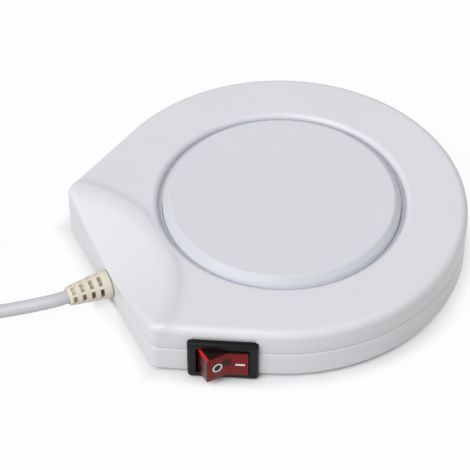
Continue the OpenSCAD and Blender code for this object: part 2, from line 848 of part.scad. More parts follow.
switched_route = [
  by_switch(0, spade_end),
  by_switch(0, 24),
  [-26, -21.5, 8.6],
  [-22, -20.6, 9.8],
  [-18, -20.1, 11.2],
  [-15, fuse_y, fuse_z],
  [-sleeve_l / 2, fuse_y, fuse_z]
];
module switched_lead() {
  color([0.15, 0.15, 0.15]) wire(switched_route, wire_r);
}

fuse_route = [
  [sleeve_l / 2, fuse_y, fuse_z],
  [14.6, -19.8, fuse_z],
  [16.6, -18.4, 12.2],
  [17, -16, 12.4],
  [15.6, -13.6, 12.6],
  [thermostat_x, -11.6, thermostat_z],
  [thermostat_x, -thermostat_end, thermostat_z]
];
module fuse_lead() {
  color([0.8, 0.8, 0.8]) wire(fuse_route, wire_r);
}

heater_route = [
  [thermostat_x, thermostat_end, thermostat_z],
  [thermostat_x, 12, thermostat_z],
  [14.3, 15.5, 12.7],
  [14.8, 18.4, 13.2],
  [tail_hole[0], tail_hole[1], 14.6],
  [tail_hole[0], tail_hole[1], lead_top]
];
module heater_lead() {
  color([0.8, 0.8, 0.8]) wire(heater_route, wire_r, 8, [1, 0.2, 0]);
}

neutral_route = [
  [cap_at[0] + 1.1, cap_at[1], cap_at[2] - 0.6],
  [cap_at[0] + 1.1, cap_at[1] - 0.6, cap_at[2] - 0.6],
  [cap_at[0] + 1.4, 4, cap_at[2] - 0.6],
  [-30, 2.5, 4.9],
  [-27.8, 2.9, 5.3],
  [-26, 5.6, 6],
  [-24.2, 10.5, 7.6],
  [-21, 15.5, 9.6],
  [-17.4, 18.8, 11.6],
  [-15.3, 19.9, 13.6],
  [-tail_hole[0], tail_hole[1], 14.8],
  [-tail_hole[0], tail_hole[1], lead_top]
];
module neutral_lead() {
  color([0.2, 0.35, 0.65]) wire(neutral_route, wire_r, 8, [1, 0.7, 0.1]);
}

lamp_route = [
  by_switch(blade_x, spade_end),
  by_switch(blade_x, 25),
  [-22.3, -17.5, 7.8],
  [-23.5, -12, 7.2],
  [-27, -6, 6.9],
  [-30.8, -1, 6.8],
  [cap_at[0] + 0.2, 3, cap_at[2] + 1.3],
  [cap_at[0], cap_at[1] - 0.8, cap_at[2] + 1.2],
  [cap_at[0], cap_at[1], cap_at[2] + 1.2]
];
module lamp_lead() {
  color([0.15, 0.15, 0.15]) wire(lamp_route, wire_r);
}

module cord_clamp() {
  color([0.85, 0.85, 0.85]) translate([clamp_x, 0, clamp_bar_z]) difference() {
    translate([-clamp_w / 2, -clamp_l / 2, 0]) cube([clamp_w, clamp_l, clamp_bar_t]);
    for (side = [-1, 1]) translate([0, side * clamp_y, -cut_over])
      cylinder(r = pilot_r, h = clamp_bar_t + 2 * cut_over);
  }
}

module cord_inside() {
  color([0.8, 0.8, 0.83]) translate([relief_tail_x, 0, cord_z]) rotate([0, 90, 0])
    cylinder(r = cord_r, h = stub_x - relief_tail_x);
}

// ---- tapered relief: collar, slotted cone, neck in the wall, catch and tail
module strain_relief() {
  color([0.9, 0.87, 0.76]) translate([-rear_reach, 0, cord_z]) rotate([0, -90, 0]) difference() {
    union() {
      cylinder(d = relief_d1, h = collar_t);
      translate([0, 0, collar_t]) cylinder(d1 = relief_d1, d2 = relief_d2, h = relief_l - collar_t);
      translate([0, 0, -wall - 0.1]) cylinder(r = neck_r, h = wall + 0.2);
      translate([0, 0, -wall - 0.1 - catch_t]) cylinder(r = catch_r, h = catch_t);
      translate([0, 0, -rear_reach - relief_tail_x])
        cylinder(r = relief_tail_r, h = rear_reach + relief_tail_x - wall);
    }
    for (row = [0:groove_rings - 1], turn = [0:grooves_round - 1]) {
      translate([0, 0, groove_first + row * groove_pitch - groove_w / 2])
        rotate_extrude(angle = groove_turn, start = -90 - groove_at + turn * 60 - groove_turn / 2)
          translate([groove_core_r, 0]) square([relief_d1, groove_w]);
    }
  }
}

module mains_cord() {
  color([0.84, 0.84, 0.86]) wire(cord_route, cord_r);
}

module cord_coil() {
  color([0.84, 0.84, 0.86]) wire(coil_path, cord_r, coil_sides);
}

module cord_tail() {
  color([0.84, 0.84, 0.86]) wire(tail_route, cord_r);
}

// ---- flat two-pin plug lying on the table beside the coil
module at_plug() {
  translate(plug_at) rotate([0, 0, plug_dir]) children();
}

function both_sides(half) = concat(half, [for (i = [len(half) - 1:-1:0]) [half[i][0], -half[i][1]]]);
plug_plan = [[0, 5], [2, 7], [12, 9.5], [17, 12.5], [19, plug_w / 2], [plug_l - 1, plug_w / 2],
  [plug_l, plug_w / 2 - 1]];
plug_profile = [[0, 4.6], [2, 5.6], [17, plug_t / 2], [plug_l - 1, plug_t / 2], [plug_l, plug_t / 2 - 1]];
module plug_body() {
  color([0.86, 0.86, 0.87]) at_plug() {
    rotate([0, 90, 0]) cylinder(r1 = 3, r2 = 4, h = plug_nose + root);
    translate([plug_nose, 0, 0]) intersection() {
      translate([0, 0, -plug_t / 2]) linear_extrude(plug_t) polygon(both_sides(plug_plan));
      rotate([90, 0, 0]) translate([0, 0, -plug_w / 2]) linear_extrude(plug_w)
        polygon(both_sides(plug_profile));
    }
  }
}

module pin_sleeves() {
  color([0.2, 0.2, 0.2]) at_plug() for (side = [-1, 1])
    translate([plug_nose + plug_l, side * pin_pitch / 2, 0]) rotate([0, 90, 0])
      cylinder(r = plug_pin_r - 0.1, h = sleeve_part);
}

module plug_pins() {
  bare_l = plug_pin_l - sleeve_part - 2;
  color(steel) at_plug() for (side = [-1, 1])
    translate([plug_nose + plug_l + sleeve_part, side * pin_pitch / 2, 0]) rotate([0, 90, 0]) {
      cylinder(r = plug_pin_r, h = bare_l);
      translate([0, 0, bare_l]) cylinder(r1 = plug_pin_r, r2 = 1.1, h = 2);
    }
}

module rubber_feet() {
  color([0.25, 0.25, 0.26]) at_points(foot_at) {
    cylinder(r1 = foot_r - 0.4, r2 = foot_r, h = 0.4);
    translate([0, 0, 0.4]) cylinder(r = foot_r, h = base_z + foot_sink - 0.4);
  }
}

top_cover();
bottom_cover();
heater_plate();
plate_seal();
mica_upper();
heater_card();
heater_ribbon();
mica_lower();
clamp_plate();
clamp_washer();
clamp_nut();
plate_screws();
thermostat();
fuse_sleeve();
thermal_fuse();
switch_housing();
switch_rocker();
rocker_marks();
switch_lamp();
detent_plunger();
detent_spring();
contact_arm();
switch_blades();
spade_terminals();
crimp_cap();
live_lead();
switched_lead();
fuse_lead();
heater_lead();
neutral_core();
neutral_lead();
lamp_lead();
cord_clamp();
clamp_screws();
cord_inside();
strain_relief();
mains_cord();
cord_coil();
cord_tail();
plug_body();
pin_sleeves();
plug_pins();
rubber_feet();
cover_screws();
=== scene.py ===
import math

import bmesh
import bpy
from mathutils import Matrix, Vector


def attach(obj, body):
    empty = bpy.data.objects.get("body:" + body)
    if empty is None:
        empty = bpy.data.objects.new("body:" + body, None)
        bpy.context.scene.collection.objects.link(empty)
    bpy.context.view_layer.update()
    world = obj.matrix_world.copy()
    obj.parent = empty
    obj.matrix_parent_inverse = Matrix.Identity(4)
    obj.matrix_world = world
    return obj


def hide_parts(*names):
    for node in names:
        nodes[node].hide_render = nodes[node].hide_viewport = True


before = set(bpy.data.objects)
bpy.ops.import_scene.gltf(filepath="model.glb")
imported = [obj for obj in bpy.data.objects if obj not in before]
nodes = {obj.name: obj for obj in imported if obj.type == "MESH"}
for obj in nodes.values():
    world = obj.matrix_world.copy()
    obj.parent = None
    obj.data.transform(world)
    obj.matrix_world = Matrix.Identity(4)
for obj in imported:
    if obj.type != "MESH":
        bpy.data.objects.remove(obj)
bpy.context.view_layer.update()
scene = bpy.context.scene

# ---- Camera ---------------------------------------------------------------
# The warmer is seen from the front and a little from the left, from about 45
# degrees above, through a long lens. The camera's place is in metres. All
# shapes are drawn in millimetres, and scaled by MM when they are done.
MM = 0.001
eye = Vector((-0.20125, -0.39356, 0.43833))
looked_at = Vector((-0.01265, 0.00713, 0.00108))
lens = bpy.data.cameras.new("camera")
lens.lens = 151.04
lens.sensor_width = 36
camera = bpy.data.objects.new("camera", lens)
scene.collection.objects.link(camera)
camera.location = eye
camera.rotation_euler = (looked_at - eye).to_track_quat("-Z", "Y").to_euler()
scene.camera = camera
scene.view_settings.view_transform = "Standard"


# ---- Mains cord -----------------------------------------------------------
# Round two-core cord with a pale grey PVC jacket, extruded smooth. It leaves
# the relief level, sinks to the table in a few centimetres and goes on to a
# coil of its spare length, with the plug beside it.
class Value:
    """A shader value: sums written on it become Math nodes."""

    def __init__(self, owner, socket):
        self.owner = owner
        self.socket = socket

    def maths(self, operation, *others):
        return self.owner.node("Math", {"operation": operation}, dict(enumerate((self, *others))))

    def __add__(self, other):
        return self.maths("ADD", other)

    __radd__ = __add__

    def __sub__(self, other):
        return self.maths("SUBTRACT", other)

    def __neg__(self):
        return self * -1

    def __rsub__(self, other):
        return -self + other

    def __mul__(self, other):
        return self.maths("MULTIPLY", other)

    __rmul__ = __mul__

    def __truediv__(self, other):
        return self.maths("DIVIDE", other)

    def __abs__(self):
        return self.maths("ABSOLUTE")

    def step(self, low, high):
        """0 below low, 1 above high and soft between them."""
        return self.owner.node("MapRange", {"interpolation_type": "SMOOTHSTEP"},
                               {"Value": self, "From Min": low, "From Max": high})

    def fall(self, low, high):
        """1 below low, 0 above high and soft between them."""
        return 1 - self.step(low, high)


class Nodes:
    """A node tree. Every node in it comes from node()."""

    def __init__(self, tree):
        self.tree = tree

    def put(self, socket, value):
        if isinstance(value, Value):
            self.tree.links.new(value.socket, socket)
        elif socket.type == "RGBA":
            socket.default_value = (*value, 1)
        else:
            socket.default_value = value

    def node(self, kind, settings=None, inputs=None, output=0):
        made = self.tree.nodes.new("ShaderNode" + kind)
        for name, setting in (settings or {}).items():
            setattr(made, name, setting)
        for name, value in (inputs or {}).items():
            self.put(made.inputs[name], value)
        return Value(self, made.outputs[output])

    def show(self, end, factor, first, second):
        """Ends the tree in a mix of two shaders."""
        mix = self.node("MixShader", None, {0: factor, 1: first, 2: second})
        self.put(self.tree.nodes[end].inputs["Surface"], mix)


class Finish(Nodes):
    """A material round one shader."""

    def __init__(self, name, **plain):
        self.material = bpy.data.materials.new(name)
        self.material.use_nodes = True
        super().__init__(self.material.node_tree)
        self.shader = self.tree.nodes["Principled BSDF"]
        for socket, value in plain.items():
            self.shade(socket.replace("_", " "), value)

    def shade(self, socket, value):
        self.put(self.shader.inputs[socket], value)

    def mixed(self, amount, first, second):
        return self.node("Mix", {"data_type": "RGBA"}, {0: amount, 6: first, 7: second}, 2)

    def place(self, origin=(0, 0, 0), turn=0, stretch=(1, 1, 1)):
        """The piece's own coordinates, from an origin and a turn about Z."""
        whole = self.node("TexCoord", output="Object")
        inputs = {"Vector": whole, "Location": origin, "Rotation": (0, 0, turn), "Scale": stretch}
        return self.node("Mapping", {"vector_type": "TEXTURE"}, inputs)

    def axes(self, origin=(0, 0, 0), turn=0):
        """The same place in millimetres, as its three parts."""
        place = self.place(Vector(origin) * MM, turn, (MM, MM, MM))
        return [self.node("SeparateXYZ", None, {0: place}, axis) for axis in "XYZ"]

    def noise(self, place, scale, detail=2.0):
        return self.node("TexNoise", None, {"Vector": place, "Scale": scale, "Detail": detail})

    def bump(self, height, depth):
        self.shade("Normal", self.node("Bump", None, {"Height": height, "Distance": depth, "Strength": 1}))


def toned(colour, by):
    return tuple(min(1, part * by) for part in colour)


def plastic(name, colour, roughness, cloud=0.02, grain=2500, depth=0.00001, **plain):
    """Moulded or extruded plastic: faint clouds of tone, and a fine grain."""
    finish = Finish(name, **plain)
    place = finish.place()
    clouds = finish.noise(place, 45)
    fine = finish.noise(place, grain, 1)
    finish.colour = finish.mixed(clouds, toned(colour, 1 - cloud), toned(colour, 1 + cloud))
    finish.shade("Base Color", finish.colour)
    finish.shade("Roughness", roughness - 0.05 + 0.1 * fine)
    finish.bump(fine, depth)
    return finish


def finished(piece, body, slot, *stands_for):
    """Hangs a piece on its body, and puts it in the place of its solids."""
    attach(piece, body)
    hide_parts(*stands_for)


cord_finish = plastic("cord_jacket", (0.555, 0.55, 0.57), 0.42, 0.015, 1800, 0.000012)
cord_r = 2.1
cord_z = 6.2
coil_mid = Vector((-116.5, 44.5, 2.15))
coil_out_r = 31
coil_join = 256
coil_pitch = 4.7
layer_turns = 3.25
climb_turns = 0.5
coil_turns = 2 * layer_turns + climb_turns
coil_steps = 24
inner_r = coil_out_r - layer_turns * coil_pitch


def coil_point(turns):
    """The cord spirals in on the table, climbs half a turn and spirals out."""
    if turns < layer_turns:
        radius = coil_out_r - coil_pitch * turns
    elif turns < layer_turns + climb_turns / 2:
        radius = inner_r - coil_pitch * (turns - layer_turns)
    else:
        radius = inner_r + coil_pitch * (turns - layer_turns - climb_turns)
    rise = coil_pitch * min(1, max(0, (turns - layer_turns) / climb_turns))
    angle = math.radians(coil_join - 360 * turns)
    return coil_mid + Vector((radius * math.cos(angle), radius * math.sin(angle), rise))


join = math.radians(coil_join)
join_dir = Vector((math.sin(join), -math.cos(join), 0))
coil_in = coil_point(0) - 2 * cord_r * join_dir
coil_out = coil_point(coil_turns) + 2 * cord_r * join_dir
plug_turn = math.radians(240)
plug_dir = Vector((math.cos(plug_turn), math.sin(plug_turn), 0))
plug_z = 6.95
plug_at = Vector((-156.6, -1.6, plug_z))
route = [(-70, 0, cord_z), (-72, 0, cord_z), (-73.5, 0, cord_z), (-76, 0.2, 6.1), (-79, 1, 5.65),
         (-83, 2.3, 4.9), (-87, 3.8, 4.1), (-92, 5.8, 3.1), (-97, 7.4, 2.4)]
route += [coil_in - 16 * join_dir, coil_in - 8 * join_dir, coil_in]
route += [coil_point(step / coil_steps) for step in range(round(coil_turns * coil_steps) + 1)]
route += [coil_out, (-134, 15.7, 6.9), (-139.4, 14.9, plug_z), (-144.5, 12.7, plug_z), (-149, 9.4, plug_z)]
route += [plug_at - 6 * plug_dir, plug_at - 3 * plug_dir, plug_at + 1 * plug_dir]
route = [Vector(point) for point in route]
cord_length = sum((after - before).length for before, after in zip(route, route[1:]))
curve = bpy.data.curves.new("mains_cord_whole", "CURVE")
curve.dimensions = "3D"
curve.bevel_depth = cord_r * MM
curve.bevel_resolution = 5
curve.resolution_u = 3
curve.use_fill_caps = True
spline = curve.splines.new("BEZIER")
spline.bezier_points.add(len(route) - 1)
for knot, point in zip(spline.bezier_points, route):
    knot.co = point * MM
    knot.handle_left_type = knot.handle_right_type = "AUTO"
curve.materials.append(cord_finish.material)
cord = bpy.data.objects.new("mains_cord_whole", curve)
scene.collection.objects.link(cord)
finished(cord, "base", "cord", "mains_cord", "cord_coil", "cord_tail")


# ---- Floor and light ------------------------------------------------------
# A seamless white table under an even sky and a soft lamp, high on the left.
# The table keeps the warmer's shadow close to it and is painted grey there as
# well, a painted shadow. It glows plain white farther out, and more so on the
# right and beside the cord, painted light that pales the shadows there. It
# throws back warmer light on the right.
def link_piece(name, bm, finish, crease=35):
    """Scales a finished shape to metres, smooths it and hangs its material."""
    bmesh.ops.scale(bm, vec=(MM, MM, MM), verts=bm.verts)
    mesh = bpy.data.meshes.new(name)
    bm.to_mesh(mesh)
    bm.free()
    mesh.shade_smooth()
    mesh.set_sharp_from_angle(angle=math.radians(crease))
    mesh.materials.append(finish.material)
    made = bpy.data.objects.new(name, mesh)
    scene.collection.objects.link(made)
    return made


def far(across, along):
    """How far a place is from an axis, from its two parts across it."""
    return (across * across + along * along).maths("SQRT")


side = math.radians(119.45)
front_r = 57.5
rear_reach = 58.5
table_half = 6000
painted_shadow_grey = (0.83, 0.83, 0.83)
table_white = (0.95, 0.95, 0.95)
bounced_left = (0.565, 0.555, 0.54)
bounced_right = (0.615, 0.545, 0.475)

table_finish = Finish("white_table", Roughness=0.9, Specular_IOR_Level=0.1)
rays = [table_finish.node("LightPath", output=kind) for kind in ("Is Camera Ray", "Is Glossy Ray")]
seen = rays[0].maths("MAXIMUM", rays[1])
x, y = table_finish.axes()[:2]
from_round = far(x, y) - front_r
from_side = abs(y) * math.sin(side) + x * math.cos(side) - front_r
from_rear = from_side.maths("MAXIMUM", -x - rear_reach).maths("MAXIMUM", x - front_r * math.cos(side))
from_body = from_round.maths("MINIMUM", from_rear)
# Painted shadow: the table's colour turns grey within 6 mm of the warmer.
painted_contact_shadow = table_finish.mixed(from_body.step(0, 6), painted_shadow_grey, table_white)
bounced = table_finish.mixed(x.step(0, 70), bounced_left, bounced_right)
table_finish.shade("Base Color", table_finish.mixed(seen, bounced, painted_contact_shadow))
away = from_body.step(2, 7) * 0.95
# Painted light: the white glow is raised on the right and beside the cord, which pales the shadows there.
painted_light_right = x.step(0, 45) * (0.62 + 0.33 * from_body.step(0, 5))
painted_light_by_cord = abs(y).fall(3, 14) * (-x).step(rear_reach - 0.5, rear_reach + 1) * 0.6
glow = away.maths("MAXIMUM", painted_light_right).maths("MAXIMUM", painted_light_by_cord) * seen
lit = Value(table_finish, table_finish.shader.outputs[0])
white = table_finish.node("Emission", None, {"Color": (1, 1, 1), "Strength": 0.985})
table_finish.show("Material Output", glow, lit, white)
bm = bmesh.new()
bmesh.ops.create_grid(bm, x_segments=2, y_segments=2, size=table_half)
table = link_piece("table", bm, table_finish)

sky = bpy.data.worlds.new("studio")
scene.world = sky
sky.use_nodes = True
sky_nodes = Nodes(sky.node_tree)
sky_light = sky_nodes.node("Background", None, {"Color": (0.965, 0.975, 1.03), "Strength": 0.53})
sky_seen = sky_nodes.node("Background", None, {"Color": (0.97, 0.97, 0.97), "Strength": 1})
sky_ray = sky_nodes.node("LightPath", output="Is Camera Ray")
sky_nodes.show("World Output", sky_ray, sky_light, sky_seen)

lamp = bpy.data.lights.new("soft_lamp", "SUN")
lamp.energy = 2.1
lamp.angle = math.radians(50)
lamp_object = bpy.data.objects.new("soft_lamp", lamp)
scene.collection.objects.link(lamp_object)
lamp_object.location = (-0.6, -0.3, 0.8)
lamp_object.rotation_euler = Vector((0.41, 0.16, -0.5)).to_track_quat("-Z", "Y").to_euler()


# ---- Lower cover ----------------------------------------------------------
# Injection-moulded white shell half: floor, upright wall and two rolled edges,
# with screw pits, foot seats, and openings for the switch and the cord. Both
# halves are painted a little darker at the seam, the base, the groove and the
# scoop's edge: painted shade where shadow falls there.
corner_r = 3.5
corner_x = corner_r - rear_reach
corner_y = (front_r - corner_r - math.cos(side) * corner_x) / math.sin(side)
base_z = 0.8
seam_z = 10
seam_line_z = 10.08
top_z = 18.4
floor_z = 2.6
wall = 2
groove_r = 38.5
groove_z = 15.8
scoop_x = 85

shell_finish = plastic("white_moulding", (0.705, 0.70, 0.722), 0.33, 0.012, 2600, 0.000006)
x, y, z = shell_finish.axes()
from_middle = far(x, y)
from_scoop = far(x + scoop_x, y)
# Painted shade in the shell's colour: a dark line at the seam, in the groove, along the base and outside
# the scoop's edge.
seam_shade = abs(z - seam_line_z).fall(0.1, 0.2) * (x + rear_reach).step(0.7, 1.7)
groove_shade = from_middle.fall(groove_r + 0.3, groove_r + 0.9) * z.fall(groove_z + 0.4, groove_z + 1.2)
base_shade = z.fall(base_z + 0.2, base_z + 1.1) * x.step(-45, -25) * x.fall(15, 40)
scoop_edge_shade = from_scoop.step(40.5, 44.5) * from_scoop.fall(45, 50) * z.step(14, 17)
shade = seam_shade * 0.55 + groove_shade * 0.3 + base_shade * 0.22 + scoop_edge_shade * 0.08
shell_finish.shade("Base Color", shell_finish.mixed(shade, shell_finish.colour, (0.25, 0.25, 0.27)))


def arc(mid_x, mid_y, radius, start, end, steps):
    """Points of the wall and the way it faces there, the last left out."""
    made = []
    for step in range(steps):
        angle = start + (end - start) * step / steps
        out = Vector((math.cos(angle), math.sin(angle), 0))
        made.append((Vector((mid_x, mid_y, 0)) + radius * out, out))
    return made


def straight(start_x, start_y, end_x, end_y, angle, steps):
    out = Vector((math.cos(angle), math.sin(angle), 0))
    start, end = Vector((start_x, start_y, 0)), Vector((end_x, end_y, 0))
    return [(start.lerp(end, step / steps), out) for step in range(steps)]


def round_the_body():
    """The body's outline in plan, from its right side round to the left."""
    c, s = math.cos(side), math.sin(side)
    near = (front_r * c, front_r * s)
    far_end = (corner_x + corner_r * c, corner_y + corner_r * s)
    made = arc(0, 0, front_r, -side, side, 230)
    made += straight(*near, *far_end, side, 32)
    made += arc(corner_x, corner_y, corner_r, side, math.pi, 16)
    made += straight(-rear_reach, corner_y, -rear_reach, -corner_y, math.pi, 64)
    made += arc(corner_x, -corner_y, corner_r, math.pi, 2 * math.pi - side, 16)
    made += straight(far_end[0], -far_end[1], near[0], -near[1], -side, 32)
    return made


outline = round_the_body()


def first_ring(bm, points):
    ring = bmesh.ops.create_circle(bm, segments=len(points))["verts"]
    for vert, point in zip(ring, points):
        vert.co = point
    return ring


def ring_edges(bm, ring):
    return [bm.edges.get((before, after)) for before, after in zip(ring, ring[1:] + ring[:1])]


def next_ring(bm, ring, points):
    """Extrudes a closed ring and puts its new points in place."""
    made = bmesh.ops.extrude_edge_only(bm, edges=ring_edges(bm, ring))["geom"]
    fresh = {part for part in made if isinstance(part, bmesh.types.BMVert)}
    grown = []
    for vert, point in zip(ring, points):
        ends = (edge.other_vert(vert) for edge in vert.link_edges)
        twin = next(end for end in ends if end in fresh)
        twin.co = point
        grown.append(twin)
    return grown


def closed(bm, first, last):
    bmesh.ops.bridge_loops(bm, edges=ring_edges(bm, first) + ring_edges(bm, last))
    bmesh.ops.recalc_face_normals(bm, faces=bm.faces)


def level(inset, height):
    """The outline moved in by inset, at a height."""
    return [point - inset * out + Vector((0, 0, height)) for point, out in outline]


def seam_row(inset, rise):
    """A row of a cover's edge at the seam, which nearly closes at the rear."""
    made = []
    for point, out in outline:
        share = 0.12 if out.x < -0.95 else 1
        made.append(point - share * inset * out + Vector((0, 0, seam_z + share * rise)))
    return made


def quarter(steps):
    return [math.radians(90 * step / steps) for step in range(steps + 1)]


def carve(piece, bm):
    """Cuts a tool's shape out of a piece for good."""
    bmesh.ops.recalc_face_normals(bm, faces=bm.faces)
    tool = link_piece("tool", bm, shell_finish)
    change = piece.modifiers.new("carve", "BOOLEAN")
    change.object = tool
    change.solver = "EXACT"
    bpy.context.view_layer.update()
    whole = piece.evaluated_get(bpy.context.evaluated_depsgraph_get())
    result = bpy.data.meshes.new_from_object(whole)
    piece.modifiers.clear()
    piece.data = result
    bpy.data.objects.remove(tool)


def box(bm, low, high, place=Matrix()):
    made = bmesh.ops.create_cube(bm, size=1)["verts"]
    low, high = Vector(low), Vector(high)
    bmesh.ops.scale(bm, vec=high - low, verts=made)
    bmesh.ops.translate(bm, vec=(low + high) / 2, verts=made)
    bmesh.ops.transform(bm, matrix=place, verts=made)


def rod(bm, radius, start, length, place=Matrix(), segments=48):
    """A round bar along its own Z, from start."""
    made = bmesh.ops.create_cone(bm, cap_ends=True, segments=segments, radius1=radius, radius2=radius,
                                 depth=length)["verts"]
    bmesh.ops.translate(bm, vec=(0, 0, length / 2), verts=made)
    bmesh.ops.transform(bm, matrix=place @ Matrix.Translation(start), verts=made)


switch_back = 13.76
switch_z = 7.4
switch_in = 0.7
opening_l, opening_h, opening_deep = 19, 12.2, 13.5
neck_hole_r = 3
switch_at = Matrix.Translation((front_r - switch_in, -switch_back, switch_z))
switch_frame = Matrix.Rotation(-side, 4, "Z") @ switch_at @ Matrix.Rotation(math.pi / 2, 4, "Z")
along_cord = Matrix.Translation((-rear_reach, 0, cord_z)) @ Matrix.Rotation(-math.pi / 2, 4, "Y")


def wall_openings(bm):
    """What the switch and the cord's relief leave free in the wall."""
    low = (-opening_l / 2, -switch_in - 1, -opening_h / 2)
    box(bm, low, (opening_l / 2, opening_deep, opening_h / 2), switch_frame)
    rod(bm, neck_hole_r, (0, 0, -wall - 1), wall + 2, along_cord)


edge_round = 0.9
under_inset = 1.6
seam_gap = 0.0001
pit_r, pit_top = 3.1, 3.6
seat_r, seat_top = 5.2, 1.6
screw_pits = [(-50, 27), (-50, -27), (39, 32.8), (39, -32.8)]
foot_seats = [(40, 18), (40, -18), (-40, 20), (-40, -20)]
bm = bmesh.new()
start = first_ring(bm, level(wall, seam_z))
ring = start
for turn in quarter(5):
    inset, drop = edge_round * (1 - math.sin(turn)), edge_round * (1 - math.cos(turn))
    ring = next_ring(bm, ring, seam_row(inset, -drop - seam_gap))
for height in (7.4, 5.6, 3.8):
    ring = next_ring(bm, ring, level(0, height))
for turn in quarter(6):
    inset, rise = edge_round * (1 - math.cos(turn)), edge_round * (1 - math.sin(turn))
    ring = next_ring(bm, ring, level(inset, base_z + rise))
ring = next_ring(bm, ring, level(under_inset, base_z))
bmesh.ops.edgeloop_fill(bm, edges=ring_edges(bm, ring))
ring = next_ring(bm, start, level(wall, floor_z + 1))
ring = next_ring(bm, ring, level(wall, floor_z))
bmesh.ops.edgeloop_fill(bm, edges=ring_edges(bm, ring))
bmesh.ops.recalc_face_normals(bm, faces=bm.faces)
lower_cover = link_piece("lower_cover", bm, shell_finish)
bm = bmesh.new()
wall_openings(bm)
for x, y in screw_pits:
    rod(bm, pit_r, (x, y, -1), 1 + pit_top)
for x, y in foot_seats:
    rod(bm, seat_r, (x, y, -1), 1 + seat_top)
carve(lower_cover, bm)
finished(lower_cover, "base", "shell", "bottom_cover")

# ---- Upper cover ----------------------------------------------------------
# The other shell half, in the same white plastic with a soft satin gloss: a
# rounded shoulder, a ring groove round the plate, and a conical scoop that
# falls toward the cord with a soft edge and a rolled brow.
scoop_back = 26.5
scoop_low_z = 11.2
scoop_r = 41.6
scoop_fall = math.atan((top_z - scoop_low_z) / (scoop_r - scoop_back))
scoop_edge_r = 12.5
scoop_edge_l = scoop_edge_r * math.tan(scoop_fall / 2)
scoop_start = scoop_r + scoop_edge_l
lip_r = 1.7
lip_out = groove_r + lip_r
ridge_h, ridge_w, ridge_away = 0.3, 1.5, 0.6
shoulder_r, shoulder_thins = 2.5, 0.178


def eased(value, low, high):
    part = min(1, max(0, (value - low) / (high - low)))
    return part * part * (3 - 2 * part)


def top_height(x, y):
    """Height of the flat top, and of the scoop's faint ridge, soft edge and cone."""
    away = math.hypot(x + scoop_x, y)
    if away >= scoop_start:
        height = top_z
    elif away > scoop_r - scoop_edge_l * math.cos(scoop_fall):
        height = top_z - scoop_edge_r + math.sqrt(scoop_edge_r ** 2 - (scoop_start - away) ** 2)
    else:
        height = top_z - (scoop_r - away) * math.tan(scoop_fall)
    near = math.exp(-((away - scoop_start - ridge_away) / ridge_w) ** 2)
    return height + ridge_h * near * eased(math.hypot(x, y), lip_out, lip_out + 2.5)


edges = []
for point, out in outline:
    height = top_height(point.x, point.y)
    inside = point - 0.5 * out
    fall = math.atan2(top_height(inside.x, inside.y) - height, 0.5)
    edges.append((point, out, fall, shoulder_r - shoulder_thins * (top_z - height)))


def shoulder(part):
    """The rolled edge, from the upright wall at 0 to the top's slope at 1."""
    made = []
    for point, out, fall, radius in edges:
        turn = math.pi / 2 - fall
        low = radius * math.tan(turn / 2)
        angle = turn * part
        inset = radius * (1 - math.cos(angle))
        at = point - inset * out
        gap = inset * math.tan(fall) + low - radius * math.sin(angle)
        made.append(Vector((at.x, at.y, top_height(at.x, at.y) - gap)))
    return made


seam_round = 0.3
roll_steps = 10
top_steps = 46
groove_round = 0.5
mouth_r, mouth_z = 37.05, 14.2
skirt_out_r = 40.5
cover_t = 2.1
bm = bmesh.new()
start = first_ring(bm, level(wall, seam_z))
ring = start
for turn in quarter(3):
    inset, rise = seam_round * (1 - math.sin(turn)), seam_round * (1 - math.cos(turn))
    ring = next_ring(bm, ring, seam_row(inset, rise + seam_gap))
roll = shoulder(0)
low = level(0, seam_z + seam_round)
ring = next_ring(bm, ring, [before.lerp(after, 0.5) for before, after in zip(low, roll)])
for step in range(roll_steps + 1):
    roll = shoulder(step / roll_steps)
    ring = next_ring(bm, ring, roll)
lip = [point.xy.normalized().to_3d() * lip_out for point in roll]
for step in range(1, top_steps + 1):
    points = [before.lerp(after, step / top_steps) for before, after in zip(roll, lip)]
    ring = next_ring(bm, ring, [Vector((p.x, p.y, top_height(p.x, p.y))) for p in points])
groove = [(lip_out - lip_r * math.sin(turn), top_z - lip_r * (1 - math.cos(turn)))
          for turn in quarter(8)[1:]]
groove += [(groove_r - groove_round * (1 - math.cos(turn)), groove_z + groove_round * (1 - math.sin(turn)))
           for turn in quarter(3)]
groove += [(mouth_r, groove_z), (mouth_r, mouth_z), (skirt_out_r, mouth_z), (skirt_out_r, top_z - cover_t)]
for radius, height in groove:
    ring = next_ring(bm, ring, [p.xy.normalized().to_3d() * radius + Vector((0, 0, height)) for p in lip])
under = [Vector((p.x, p.y, max(top_height(p.x, p.y) - cover_t, seam_z + 0.02))) for p in level(wall, 0)]
ring = next_ring(bm, ring, under)
closed(bm, ring, start)
upper_cover = link_piece("upper_cover", bm, shell_finish)
bm = bmesh.new()
wall_openings(bm)
carve(upper_cover, bm)
finished(upper_cover, "base", "shell", "top_cover")

# ---- Heating plate --------------------------------------------------------
# Aluminium pan drawn to shape, with a smooth pale baked coating. The edge of
# its top slopes down to an upright rim, and its flange is screwed up against
# the cover from inside. The slope is painted a little darker, a painted shade
# against the lamp's sheen there, and the rim is painted lighter and bluer,
# painted light in the groove's shadow.
plate_colour = (0.675, 0.675, 0.70)
slope_painted_shade = (0.62, 0.63, 0.67)
rim_painted_light = (0.80, 0.82, 0.88)
plate_finish = Finish("plate_coating", Specular_IOR_Level=0.22)
place = plate_finish.place()
clouds = plate_finish.noise(place, 30)
orange_peel = plate_finish.noise(place, 900, 1)
height = plate_finish.axes()[2]
coat = plate_finish.mixed(clouds, toned(plate_colour, 0.99), toned(plate_colour, 1.01))
